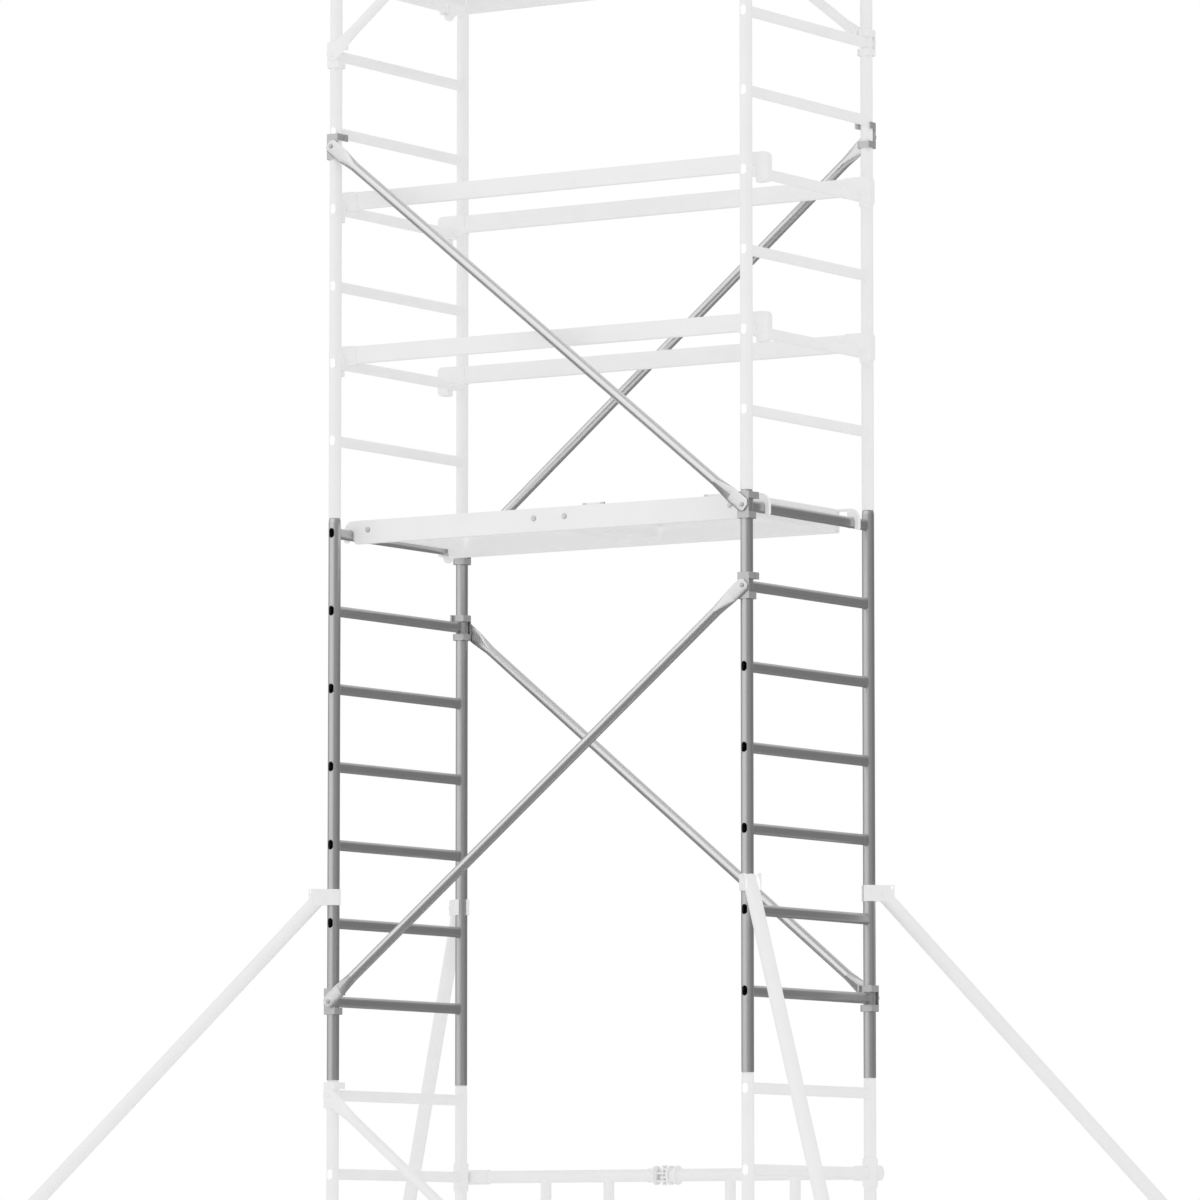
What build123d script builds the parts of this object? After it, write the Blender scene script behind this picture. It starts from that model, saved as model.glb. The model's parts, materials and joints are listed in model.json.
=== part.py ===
from build123d import *
import os
from math import atan, atan2, cos, degrees, hypot, radians, sin

# Mobile aluminium tower scaffold: four storeys of ladder frames on castors, joined by diagonal
# braces, with two trapdoor platforms, guard rails, a folding gate at the base and four stabilisers.
# The origin is on the ground, midway between the four posts. +X runs along the bay, +Y across it
# (the front is -Y) and +Z is up. Millimetres.

# ---- driving dimensions: bay and ladder frames
BAY_LENGTH = 1743.0
BAY_WIDTH = 814.0
RUNG_PITCH = 280.0
RUNGS = 7
GUARD_RUNGS = 4
JOINT_GAP = 334.0       # last rung of one frame to first rung of the next
POST_HEAD = 54.0        # post shoulder above the last rung
GROUND_GAP = 300.0      # foot of the base posts above the ground

POST_R = 22.0
POST_WALL = 3.0
SPIGOT_R = 18.9
SPIGOT_LENGTH = 60.0
NECK_LENGTH = 16.0
RUNG_HEIGHT = 39.0
RUNG_WIDTH = 25.0
RUNG_WALL = 1.8
FIT = 0.1               # clearance between parts that touch in life

# ---- driving dimensions: braces and their couplers
BRACE_R = 18.0
BRACE_WALL = 2.0
EYE_WIDTH = 52.0        # the pressed-flat end of a brace
EYE_THICKNESS = 7.0
EYE_LENGTH = 60.0       # pivot to where the flat ends
EYE_END = 17.0          # how far the flat reaches past the pivot
EYE_CHAMFER = 13.0
PRESS_LENGTH = 75.0     # flat to round
ROUND_START = EYE_LENGTH + PRESS_LENGTH
RIVET_R = 5.0
RIVET_HEAD_R = 8.0
COUPLER_HEIGHT = 93.0
COUPLER_WIDTH = 46.0
STRAP_HEIGHT = 24.0
STRAP_DEPTH = 17.0      # how far an open strap reaches past the post's centre
STRAP_CORNER = 5.0
LATCH_GAP = 1.0         # where a closed strap springs open
TAB_LENGTH = 20.0
SHEET = 3.0

# ---- driving dimensions: platforms
DECK_WIDTH = 630.0
LEFT_END_GAP = 23.0     # rung centre to beam end
RIGHT_END_GAP = 63.0
BEAM_TOP = 52.0         # above the rung centre
BEAM_HEIGHT = 84.0
BEAM_THICKNESS = 28.0
BEAM_WALL = 2.5
BOARD = 10.0
HATCH_CENTRE_X = 400.0
HATCH_LENGTH = 644.0
HATCH_HINGE_SPACING = 508.0
HOOK_THICKNESS = 15.0
HOOK_WALL = 16.0

# ---- driving dimensions: guard rails
RAIL_INSET = 60.0       # post centre line to rail centre line
RAIL_HEIGHT = 62.5
RAIL_THICKNESS = 25.0
RAIL_BOTTOM = 2.0       # above the rung centre
CLAW_TOP = 67.0
CLAW_BOTTOM = -40.0
CLAW_INNER_BOTTOM = -4.0
CLAW_REACH = 60.0       # each way from the rung centre
CLAW_THICKNESS = 34.0

# ---- driving dimensions: folding gate at the base
GATE_R = 22.5
GATE_UPRIGHT_R = 19.5
GATE_OUT = 49.0         # gate's plane, out from the rear posts' centres
GATE_UPRIGHTS = (259.0, 531.0)
GATE_WALL = 2.5
GATE_HINGE_X = -20.0
GATE_HINGE_REACH = 52.0

# ---- driving dimensions: stabilisers
STABILISER_RISE = 92.0  # clamp centre above the second rung of the middle frames
STABILISER_RUN = 0.933  # outward run for each unit of drop
STABILISER_R = 25.0
STABILISER_WALL = 3.0
CLAMP_HEIGHT = 57.0
CLAMP_R = 28.0
CLAMP_MOUTH = 28.0      # opening on the tower's side
CHEEK_REACH = 85.0      # post centre to the outer edge of the cheeks
CHEEK = 4.0
PIVOT_REACH = 48.0      # post centre to the stabiliser's pivot
TUBE_OVERRUN = 15.0     # tube end past its pivot
SLEEVE_LENGTH = 2700.0  # outer tube
LEG_OVERLAP = 700.0     # length of inner tube inside the sleeve
STRUT_R = 15.0
STRUT_LOW_Z = 480.0
STRUT_HIGH_Z = 1250.0
FOOT_R = 58.0
FOOT_HEIGHT = 24.0
BALL_R = 18.0
BALL_Z = 54.0

# ---- driving dimensions: castors
WHEEL_R = 100.0
WHEEL_WIDTH = 50.0
TYRE_DEPTH = 24.0
AXLE_R = 8.0
TRAIL = 45.0
STEM_LENGTH = 140.0
KING_PIN_R = 12.0
RUNNING = 0.06          # radial clearance of a running fit

# ---- levels
POST_FOOT = JOINT_GAP - POST_HEAD
FRAME_HEIGHT = POST_FOOT + (RUNGS - 1) * RUNG_PITCH + POST_HEAD
BASE_Z = GROUND_GAP
MIDDLE_Z = BASE_Z + FRAME_HEIGHT
UPPER_Z = MIDDLE_Z + FRAME_HEIGHT
GUARD_Z = UPPER_Z + FRAME_HEIGHT
HALF_LENGTH = BAY_LENGTH / 2
HALF_WIDTH = BAY_WIDTH / 2
POST_BORE_R = POST_R - POST_WALL
PIVOT_DROP = JOINT_GAP - RUNG_PITCH  # a brace that crosses a frame joint starts this far below a rung


def rung_level(frame_z, number):
    """Height of a frame's rung, counted from 1 at the bottom."""
    return frame_z + POST_FOOT + (number - 1) * RUNG_PITCH


CORNERS = {
    "front_left": (-1, -1),
    "rear_left": (-1, 1),
    "front_right": (1, -1),
    "rear_right": (1, 1),
}
LOWER_DECK_Z = rung_level(MIDDLE_Z, RUNGS)
UPPER_DECK_Z = rung_level(UPPER_Z, RUNGS)
KNEE_RAIL_RUNG = 2
HAND_RAIL_RUNG = 4


def finish(builder, name):
    """Label a finished piece and write it out."""
    builder.part.label = name
    export_step(builder.part, f"parts/{name}.step")


# ---- ladder frames
def ladder_post(rungs):
    """Post tube with a swaged spigot at its head and an oval hole for each rung; foot at the origin."""
    head = POST_FOOT + (rungs - 1) * RUNG_PITCH + POST_HEAD
    spigot_bore = SPIGOT_R - POST_WALL
    tip = head + SPIGOT_LENGTH
    with BuildPart() as post:
        with BuildSketch(Plane.XZ):
            with BuildLine():
                Polyline((POST_BORE_R, 0), (POST_R, 0), (POST_R, head - NECK_LENGTH))
                TangentArc((POST_R, head - NECK_LENGTH), (SPIGOT_R, head), tangent=(0, 1))
                Polyline((SPIGOT_R, head), (SPIGOT_R, tip - 3), (SPIGOT_R - 1.5, tip), (spigot_bore, tip))
                Line((spigot_bore, tip), (spigot_bore, head - 4))
                Polyline((spigot_bore, head - 4), (POST_BORE_R, head - NECK_LENGTH - 4), (POST_BORE_R, 0))
            make_face()
        revolve(axis=Axis.Z)
        with BuildSketch(Plane.XZ):
            with Locations(*[(0, POST_FOOT + i * RUNG_PITCH) for i in range(rungs)]):
                SlotOverall(RUNG_HEIGHT + 2 * FIT, RUNG_WIDTH + 2 * FIT, rotation=90)
        extrude(amount=POST_R + 1, both=True, mode=Mode.SUBTRACT)
    return post.part


def ladder_rung():
    """Upright oval tube that passes through both posts and ends flush with their outsides."""
    with BuildPart() as bar:
        with BuildSketch(Plane.XZ):
            SlotOverall(RUNG_HEIGHT, RUNG_WIDTH, rotation=90)
            bore = (RUNG_HEIGHT - 2 * RUNG_WALL, RUNG_WIDTH - 2 * RUNG_WALL)
            SlotOverall(*bore, rotation=90, mode=Mode.SUBTRACT)
        extrude(amount=HALF_WIDTH + POST_R, both=True)
        with BuildSketch(Plane.XY.offset(-RUNG_HEIGHT)):
            SlotCenterToCenter(BAY_WIDTH, 2 * POST_R, rotation=90)
        extrude(amount=2 * RUNG_HEIGHT, mode=Mode.INTERSECT)
    return bar.part


def ladder_frame(side, foot_z, rungs, post, bar):
    """Two posts joined by rungs, at one end of the bay."""
    with BuildPart() as ladder:
        with Locations(*[(side * HALF_LENGTH, y, foot_z) for y in (-HALF_WIDTH, HALF_WIDTH)]):
            add(post)
        with Locations(*[(side * HALF_LENGTH, 0, rung_level(foot_z, i + 1)) for i in range(rungs)]):
            add(bar)
    return ladder


FRAMES = {
    "base_frame": (BASE_Z, RUNGS),
    "middle_frame": (MIDDLE_Z, RUNGS),
    "upper_frame": (UPPER_Z, RUNGS),
    "guard_frame": (GUARD_Z, GUARD_RUNGS),
}


# ---- braces
BRACE_RISE = 5 * RUNG_PITCH
BRACE_LENGTH = hypot(BAY_LENGTH, BRACE_RISE)    # pivot to pivot


def pressed_end(eye, eye_half_width, radius):
    """Solid +X end of a brace, pressed from round to a flat eye that reaches past the pivot."""
    pivot_x = BRACE_LENGTH / 2
    with BuildPart() as end:
        with BuildSketch(Plane.YZ.offset(pivot_x - EYE_LENGTH)):
            Ellipse(eye / 2, eye_half_width)
        extrude(amount=EYE_LENGTH + EYE_WIDTH / 2)
        with BuildSketch(Plane.YZ.offset(pivot_x - ROUND_START)):
            Circle(radius)
        with BuildSketch(Plane.YZ.offset(pivot_x - EYE_LENGTH)):
            Ellipse(eye / 2, eye_half_width)
        loft()
    return end.part


def brace():
    """Round tube along X, centred, with ends pressed flat, chamfered and pierced for rivets."""
    bore_r = BRACE_R - BRACE_WALL
    slit = 1.6
    slit_half_width = EYE_WIDTH / 2 - 2.5
    round_half = BRACE_LENGTH / 2 - ROUND_START
    outer_end = pressed_end(EYE_THICKNESS, EYE_WIDTH / 2, BRACE_R)
    inner_end = pressed_end(slit, slit_half_width, bore_r)
    both_ends = (Location((0, 0, 0)), Location((0, 0, 0), (0, 0, 180)))
    with BuildPart() as tube:
        with BuildSketch(Plane.YZ):
            Circle(BRACE_R)
        extrude(amount=round_half, both=True)
        with Locations(*both_ends):
            add(outer_end)
        with BuildSketch(Plane.YZ):
            Circle(bore_r)
        extrude(amount=round_half, both=True, mode=Mode.SUBTRACT)
        with Locations(*both_ends):
            add(inner_end, mode=Mode.SUBTRACT)
        with BuildSketch(Plane.XZ) as outline:
            Rectangle(BRACE_LENGTH + 2 * EYE_END, EYE_WIDTH)
            chamfer(outline.vertices(), EYE_CHAMFER)
            with Locations((-BRACE_LENGTH / 2, 0), (BRACE_LENGTH / 2, 0)):
                Circle(RIVET_R + FIT, mode=Mode.SUBTRACT)
        extrude(amount=BRACE_R + 1, both=True, mode=Mode.INTERSECT)
    return tube.part


PLATE_INNER = POST_R + 0.3                  # face plate of a coupler, out from the post centre
PLATE_OUTER = PLATE_INNER + SHEET
EYE_INNER = PLATE_OUTER + 0.2
BRACE_OUT = EYE_INNER + EYE_THICKNESS / 2   # brace centre line, out from the post centre

# name: (face, from side, from height, to side, to height)
BRACES = {
    "brace_base_front": (-1, -1, rung_level(BASE_Z, 7), 1, rung_level(BASE_Z, 2)),
    "brace_lower_front": (-1, -1, rung_level(MIDDLE_Z, 1), 1, rung_level(MIDDLE_Z, 6)),
    "brace_lower_rear": (1, 1, rung_level(MIDDLE_Z, 1), -1, rung_level(MIDDLE_Z, 6)),
    "brace_middle_front": (-1, 1, rung_level(MIDDLE_Z, 7), -1, rung_level(UPPER_Z, 5) - PIVOT_DROP),
    "brace_middle_rear": (1, -1, rung_level(MIDDLE_Z, 7), 1, rung_level(UPPER_Z, 5) - PIVOT_DROP),
    "brace_upper_front": (-1, -1, rung_level(UPPER_Z, 6), 1, rung_level(GUARD_Z, 4) - PIVOT_DROP),
    "brace_upper_rear": (1, 1, rung_level(UPPER_Z, 6), -1, rung_level(GUARD_Z, 4) - PIVOT_DROP),
}


RUNG_LEVELS = [
    rung_level(frame_z, number) for frame_z, count in FRAMES.values() for number in range(1, count + 1)
]


def coupler_places(level_with_rung):
    """Where couplers sit on the posts, level with a rung or below one, plates facing outwards."""
    places = []
    for face, side_a, z_a, side_b, z_b in BRACES.values():
        for side, z in ((side_a, z_a), (side_b, z_b)):
            at_rung = any(abs(z - level) < FIT for level in RUNG_LEVELS)
            if at_rung == level_with_rung:
                turn = 0 if face < 0 else 180
                places.append(Location((side * HALF_LENGTH, face * HALF_WIDTH, z), (0, 0, turn)))
    return places


def coupler(top_closed):
    """Bent-sheet claw: a face plate, a snap tab and two straps, closed where no rung is in the way."""
    lower_strap = -COUPLER_HEIGHT / 2
    upper_strap = COUPLER_HEIGHT / 2 - STRAP_HEIGHT
    with BuildPart() as claw:
        with BuildSketch(Plane.XZ.offset(PLATE_INNER)):
            RectangleRounded(COUPLER_WIDTH, COUPLER_HEIGHT, STRAP_CORNER)
            Circle(RIVET_R + FIT, mode=Mode.SUBTRACT)
        extrude(amount=SHEET)
        for low, closed in ((lower_strap, True), (upper_strap, top_closed)):
            outer_end = PLATE_OUTER if closed else STRAP_DEPTH
            hollow_end = PLATE_INNER if closed else STRAP_DEPTH
            with BuildSketch(Plane.XY.offset(low)) as strap:
                with Locations((0, (outer_end - PLATE_OUTER) / 2)):
                    Rectangle(2 * PLATE_OUTER, PLATE_OUTER + outer_end)
                corners = strap.vertices() if closed else strap.vertices().group_by(Axis.Y)[0]
                fillet(corners, STRAP_CORNER)
                with Locations((0, (hollow_end - PLATE_INNER) / 2)):
                    Rectangle(2 * PLATE_INNER, PLATE_INNER + hollow_end, mode=Mode.SUBTRACT)
                if closed:
                    with Locations((PLATE_INNER - STRAP_CORNER, PLATE_INNER + SHEET / 2)):
                        Rectangle(LATCH_GAP, 2 * SHEET, mode=Mode.SUBTRACT)
            extrude(amount=STRAP_HEIGHT)
        with BuildSketch(Plane.XY.offset(upper_strap)):
            with Locations((PLATE_OUTER, STRAP_DEPTH + TAB_LENGTH / 2 - SHEET)):
                Rectangle(2 * SHEET, TAB_LENGTH + SHEET)
        extrude(amount=STRAP_HEIGHT)
    return claw.part


def brace_rivet():
    """Domed rivet through a coupler's plate and a brace's eye."""
    head_y = EYE_INNER + EYE_THICKNESS + FIT
    with BuildPart() as rivet:
        with BuildSketch(Plane.XZ.offset(PLATE_INNER)):
            Circle(RIVET_R)
        extrude(amount=head_y - PLATE_INNER)
        with BuildSketch(Plane.XZ.offset(head_y)):
            Circle(RIVET_HEAD_R)
        extrude(amount=1.5)
        with BuildSketch(Plane.XZ.offset(head_y + 1.5)):
            Circle(RIVET_HEAD_R)
        extrude(amount=2.5, taper=50)
    return rivet.part


# ---- folding gate between the rear base posts
GATE_TOP = rung_level(BASE_Z, 6)
GATE_BOTTOM = rung_level(BASE_Z, 2)
GATE_Y = HALF_WIDTH + GATE_OUT
GATE_END = HALF_LENGTH + 8.0


def gate_upright():
    """Upright tube, coped to sit on the two horizontal tubes."""
    with BuildPart() as upright:
        with BuildSketch(Plane.XY.offset(GATE_BOTTOM)):
            Circle(GATE_UPRIGHT_R)
            Circle(GATE_UPRIGHT_R - GATE_WALL, mode=Mode.SUBTRACT)
        extrude(amount=GATE_TOP - GATE_BOTTOM)
        with BuildSketch(Plane.YZ):
            with Locations((0, GATE_BOTTOM), (0, GATE_TOP)):
                Circle(GATE_R + FIT)
        extrude(amount=GATE_UPRIGHT_R + 1, both=True, mode=Mode.SUBTRACT)
    return upright.part


def gate_leaf(side):
    """One half of the gate: a top and a bottom tube with uprights between them."""
    upright = gate_upright()
    start = GATE_HINGE_X + side * GATE_HINGE_REACH
    with BuildPart() as leaf:
        with BuildSketch(Plane.YZ.offset(start)):
            with Locations((GATE_Y, GATE_BOTTOM), (GATE_Y, GATE_TOP)):
                Circle(GATE_R)
                Circle(GATE_R - GATE_WALL, mode=Mode.SUBTRACT)
        extrude(amount=side * (GATE_END - side * start))
        with Locations(*[(side * x, GATE_Y, 0) for x in GATE_UPRIGHTS]):
            add(upright)
    return leaf


def gate_bracket():
    """Sleeve on a post joined to the socket of a gate tube; post at the origin, gate towards +X."""
    half_height = 50.0
    sleeve_r = POST_R + 5
    socket_start = HALF_LENGTH - GATE_END - 5
    with BuildPart() as bracket:
        with BuildSketch(Plane.XY.offset(-half_height)):
            Circle(sleeve_r)
        extrude(amount=2 * half_height)
        with BuildSketch(Plane.YZ.offset(socket_start)):
            with Locations((GATE_OUT, 0)):
                Circle(GATE_R + 4)
        extrude(amount=104)
        with BuildSketch(Plane.YZ.offset(HALF_LENGTH - GATE_END)):
            with Locations((GATE_OUT, 0)):
                Circle(GATE_R + FIT)
        extrude(amount=200, mode=Mode.SUBTRACT)
        with BuildSketch(Plane.XY.offset(-half_height - 1)):
            Circle(POST_R + FIT)
        extrude(amount=2 * half_height + 2, mode=Mode.SUBTRACT)
        with BuildSketch(Plane.XZ):
            SlotOverall(RUNG_HEIGHT + 2, RUNG_WIDTH + 2, rotation=90)
        extrude(amount=sleeve_r + 1, mode=Mode.SUBTRACT)
    return bracket.part


def gate_knuckle(side, fin_heights, flange_starts):
    """Socket on a leaf's inner end, ringed by flanges, with flat fins that take the hinge pin."""
    fin_r = 17.0
    fin = 7.0
    flange = 8.0
    with BuildPart() as knuckle:
        with BuildSketch(Plane.YZ.offset(side * 24)):
            Circle(GATE_R + 3)
        extrude(amount=side * 42)
        for start in flange_starts:
            with BuildSketch(Plane.YZ.offset(side * start)):
                Circle(GATE_R + 12)
            extrude(amount=side * flange)
        with BuildSketch(Plane.YZ.offset(side * (GATE_HINGE_REACH - FIT))):
            Circle(GATE_R + FIT)
        extrude(amount=side * 42, mode=Mode.SUBTRACT)
        for height in fin_heights:
            with BuildSketch(Plane.XY.offset(height)):
                SlotOverall(2 * 30 + 2 * fin_r, 2 * fin_r)
                with Locations((-side * 50, 0)):
                    Rectangle(100, 100, mode=Mode.SUBTRACT)
                Circle(fin_r)
            extrude(amount=fin)
        with BuildSketch(Plane.XY.offset(-40)):
            Circle(6 + FIT)
        extrude(amount=80, mode=Mode.SUBTRACT)
    return knuckle.part


def gate_hinge_pin():
    """Pin down through the fins, with a head at each end."""
    with BuildPart() as pin:
        Cylinder(6, 64)
        with Locations((0, 0, 33), (0, 0, -33)):
            Cylinder(10, 6)
    return pin.part


# ---- platforms
DECK_LEFT = -HALF_LENGTH + LEFT_END_GAP
DECK_RIGHT = HALF_LENGTH - RIGHT_END_GAP
BEAM_Y = DECK_WIDTH / 2 - BEAM_THICKNESS / 2
BOARD_HALF_WIDTH = DECK_WIDTH / 2 - BEAM_THICKNESS - 1
CROSS_X = (-790.0, -75.0, 55.0, 745.0)
CROSS_WIDTH = 30.0
CROSS_HEIGHT = 50.0
END_PROFILE_WIDTH = 26.0
HATCH_WIDTH = 2 * BOARD_HALF_WIDTH - 60
HATCH_PIN_Y = -HATCH_WIDTH / 2 - 8
HATCH_GAP = 3.0
HINGE_R = 6.5
HINGE_PIN_R = 3.0


def platform_frame(rung_z):
    """Two box-section side beams and the cross members that carry the boards."""
    with BuildPart() as chassis:
        for y in (-BEAM_Y, BEAM_Y):
            with BuildSketch(Plane.YZ.offset(DECK_LEFT)):
                with Locations((y, rung_z + BEAM_TOP - BEAM_HEIGHT / 2)):
                    RectangleRounded(BEAM_THICKNESS, BEAM_HEIGHT, 3)
                    Rectangle(
                        BEAM_THICKNESS - 2 * BEAM_WALL, BEAM_HEIGHT - 2 * BEAM_WALL, mode=Mode.SUBTRACT
                    )
            extrude(amount=DECK_RIGHT - DECK_LEFT)
        inner = DECK_WIDTH / 2 - BEAM_THICKNESS - FIT
        low = rung_z + BEAM_TOP - BOARD - FIT - CROSS_HEIGHT
        for x in CROSS_X:
            with BuildSketch(Plane.XZ.offset(-inner)):
                with Locations((x, low + CROSS_HEIGHT / 2)):
                    Rectangle(CROSS_WIDTH, CROSS_HEIGHT)
                    Rectangle(CROSS_WIDTH - 4, CROSS_HEIGHT - 4, mode=Mode.SUBTRACT)
            extrude(amount=2 * inner)
    return chassis


def platform_deck(rung_z):
    """Deck boards: one full board and the narrow boards round the hatch."""
    top = rung_z + BEAM_TOP
    left_end = DECK_LEFT + END_PROFILE_WIDTH + 1
    right_end = DECK_RIGHT - END_PROFILE_WIDTH - 1
    hatch_low = HATCH_CENTRE_X - HATCH_LENGTH / 2 - HATCH_GAP
    hatch_high = HATCH_CENTRE_X + HATCH_LENGTH / 2 + HATCH_GAP
    half_opening = HATCH_WIDTH / 2 + HATCH_GAP
    seam = 0.5
    with BuildPart() as deck:
        with BuildSketch(Plane.XY.offset(top - BOARD)):
            with Locations(((left_end + hatch_low) / 2, 0)):
                Rectangle(hatch_low - left_end, 2 * BOARD_HALF_WIDTH)
            with Locations(((hatch_high + right_end) / 2, 0)):
                Rectangle(right_end - hatch_high, 2 * BOARD_HALF_WIDTH)
            for side in (-1, 1):
                with Locations((HATCH_CENTRE_X, side * (half_opening + BOARD_HALF_WIDTH) / 2)):
                    Rectangle(hatch_high - hatch_low - 2 * seam, BOARD_HALF_WIDTH - half_opening)
        extrude(amount=BOARD)
    return deck


def deck_end_profile():
    """Nosing along a deck's end, with a scalloped lower edge; the outer edge is at x = 0."""
    scallop_pitch = 54.0
    scallop_r = 24.0
    depth = 18.0
    scallops = 9
    with BuildPart() as nosing:
        with BuildSketch(Plane.XZ.offset(-BOARD_HALF_WIDTH)):
            with Locations((-END_PROFILE_WIDTH / 2, -depth / 2)):
                Rectangle(END_PROFILE_WIDTH, depth)
            with Locations((-END_PROFILE_WIDTH / 2 - 3, -depth / 2 - 2)):
                Rectangle(END_PROFILE_WIDTH, depth - 2, mode=Mode.SUBTRACT)
        extrude(amount=2 * BOARD_HALF_WIDTH)
        with BuildSketch(Plane.YZ.offset(-END_PROFILE_WIDTH - 1)):
            with Locations((0, -depth - scallop_r + 5)):
                with GridLocations(scallop_pitch, 0, scallops, 1):
                    Circle(scallop_r)
        extrude(amount=END_PROFILE_WIDTH + 2, mode=Mode.SUBTRACT)
    return nosing.part


def platform_hook(end_gap):
    """Cast hook whose shank sits inside a side beam; it hangs over a rung at the origin, outward +X."""
    shank_height = BEAM_HEIGHT - 2 * BEAM_WALL - 2
    shank_middle = BEAM_TOP - BEAM_HEIGHT / 2
    reach = RUNG_WIDTH / 2 + HOOK_WALL
    tip = -24.0
    gap = 0.5
    with BuildPart() as hook:
        with BuildSketch(Plane.XZ.offset(-HOOK_THICKNESS / 2)):
            with Locations((-end_gap - 45, shank_middle)):
                Rectangle(90, shank_height)
            with BuildLine():
                Line((-end_gap, BEAM_TOP - 1), (0, BEAM_TOP - 1))
                ThreePointArc((0, BEAM_TOP - 1), (reach * 0.8, BEAM_TOP - 20), (reach, 6))
                Line((reach, 6), (reach, tip + 6))
                ThreePointArc((reach, tip + 6), (reach - 8, tip - 2), (RUNG_WIDTH / 2 + gap, tip + 6))
                Line((RUNG_WIDTH / 2 + gap, tip + 6), (-end_gap, tip + 6))
                Line((-end_gap, tip + 6), (-end_gap, BEAM_TOP - 1))
            make_face()
            SlotOverall(RUNG_HEIGHT + 2 * gap, RUNG_WIDTH + 2 * gap, rotation=90, mode=Mode.SUBTRACT)
            with Locations((0, -RUNG_HEIGHT)):
                Rectangle(RUNG_WIDTH + 2 * gap, 2 * RUNG_HEIGHT, mode=Mode.SUBTRACT)
            if end_gap > LEFT_END_GAP:
                window_left = -end_gap + 4
                window_right = -RUNG_WIDTH / 2 - 5
                window_top = BEAM_TOP - 9
                with Locations(((window_left + window_right) / 2, window_top - 45)):
                    Rectangle(window_right - window_left, 90, mode=Mode.SUBTRACT)
        extrude(amount=HOOK_THICKNESS)
    return hook.part


def beam_fastener():
    """Low domed head on a side beam's outer face, over a cross member's end."""
    with BuildPart() as head:
        with BuildSketch(Plane.XZ):
            Circle(10)
        extrude(amount=2)
        with BuildSketch(Plane.XZ.offset(2)):
            Circle(10)
        extrude(amount=2.5, taper=45)
    return head.part


def hatch_panel(rung_z):
    """Trapdoor: a board with a rim under it and the moving hinge barrels at its front edge."""
    top = rung_z + BEAM_TOP
    barrel = 60.0
    with BuildPart() as panel:
        with BuildSketch(Plane.XY.offset(top - BOARD)):
            with Locations((HATCH_CENTRE_X, 0)):
                RectangleRounded(HATCH_LENGTH, HATCH_WIDTH, 6)
        extrude(amount=BOARD)
        with BuildSketch(Plane.XY.offset(top - 30)):
            with Locations((HATCH_CENTRE_X, 4)):
                Rectangle(HATCH_LENGTH - 40, HATCH_WIDTH - 40)
                Rectangle(HATCH_LENGTH - 46, HATCH_WIDTH - 46, mode=Mode.SUBTRACT)
        extrude(amount=30 - BOARD)
        for offset in (-HATCH_HINGE_SPACING / 2, HATCH_HINGE_SPACING / 2):
            x = HATCH_CENTRE_X + offset
            with BuildSketch(Plane.XY.offset(top)):
                with Locations((x, HATCH_PIN_Y + 20)):
                    Rectangle(barrel - 6, 40)
            extrude(amount=2.5)
            with BuildSketch(Plane.YZ.offset(x - barrel / 2)):
                with Locations((HATCH_PIN_Y, top + HINGE_R)):
                    Circle(HINGE_R)
            extrude(amount=barrel)
            with BuildSketch(Plane.YZ.offset(x - barrel / 2 - 1)):
                with Locations((HATCH_PIN_Y, top + HINGE_R)):
                    Circle(HINGE_PIN_R + RUNNING)
            extrude(amount=barrel + 2, mode=Mode.SUBTRACT)
    return panel


def hatch_hinge(rung_z, x):
    """Fixed half of a hatch hinge: end barrels, leaf on the side board and pin."""
    top = rung_z + BEAM_TOP
    barrel = 14.0
    half = 30.0 + 1.0
    leaf_y = -BOARD_HALF_WIDTH + 2
    with BuildPart() as hinge:
        for start in (x - half - barrel, x + half):
            with BuildSketch(Plane.YZ.offset(start)):
                with Locations((HATCH_PIN_Y, top + HINGE_R)):
                    Circle(HINGE_R)
            extrude(amount=barrel)
            with BuildSketch(Plane.XY.offset(top + 0.2)):
                with Locations((start + barrel / 2, (leaf_y + HATCH_PIN_Y) / 2)):
                    Rectangle(barrel, HATCH_PIN_Y - leaf_y)
            extrude(amount=2.5)
        with BuildSketch(Plane.YZ.offset(x - half - barrel)):
            with Locations((HATCH_PIN_Y, top + HINGE_R)):
                Circle(HINGE_PIN_R)
        extrude(amount=2 * (half + barrel))
    return hinge.part


# ---- wind lock: a round latch under the rear left hook of each platform
LOCK_R = 22.0
LOCK_DROP = 26.0
LOCK_THICKNESS = 6.0
LOCK_PIVOT_X = 40.0
LOCK_PIVOT_Z = -10.0
LOCK_Y = DECK_WIDTH / 2 + 0.5
LOCK_PIN_R = 4.0


def wind_lock(rung_z):
    """Latch that closes under the rung and turns on a pin in the side beam."""
    gap = 0.6
    rung_x = -HALF_LENGTH
    pivot_x = rung_x + LOCK_PIVOT_X
    with BuildPart() as latch:
        with BuildSketch(Plane.XZ.offset(-LOCK_Y - LOCK_THICKNESS)):
            with Locations((rung_x, rung_z - LOCK_DROP)):
                Circle(LOCK_R)
            with BuildLine():
                Polyline(
                    (rung_x, rung_z - LOCK_DROP - LOCK_R),
                    (pivot_x, rung_z + LOCK_PIVOT_Z - 11),
                    (pivot_x, rung_z + LOCK_PIVOT_Z + 11),
                    (rung_x, rung_z - LOCK_DROP + 8),
                    close=True,
                )
            make_face()
            with Locations((pivot_x, rung_z + LOCK_PIVOT_Z)):
                Circle(11)
                Circle(LOCK_PIN_R + RUNNING, mode=Mode.SUBTRACT)
            with Locations((rung_x, rung_z)):
                SlotOverall(RUNG_HEIGHT + 2 * gap, RUNG_WIDTH + 2 * gap, rotation=90, mode=Mode.SUBTRACT)
        extrude(amount=LOCK_THICKNESS)
    return latch


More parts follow.
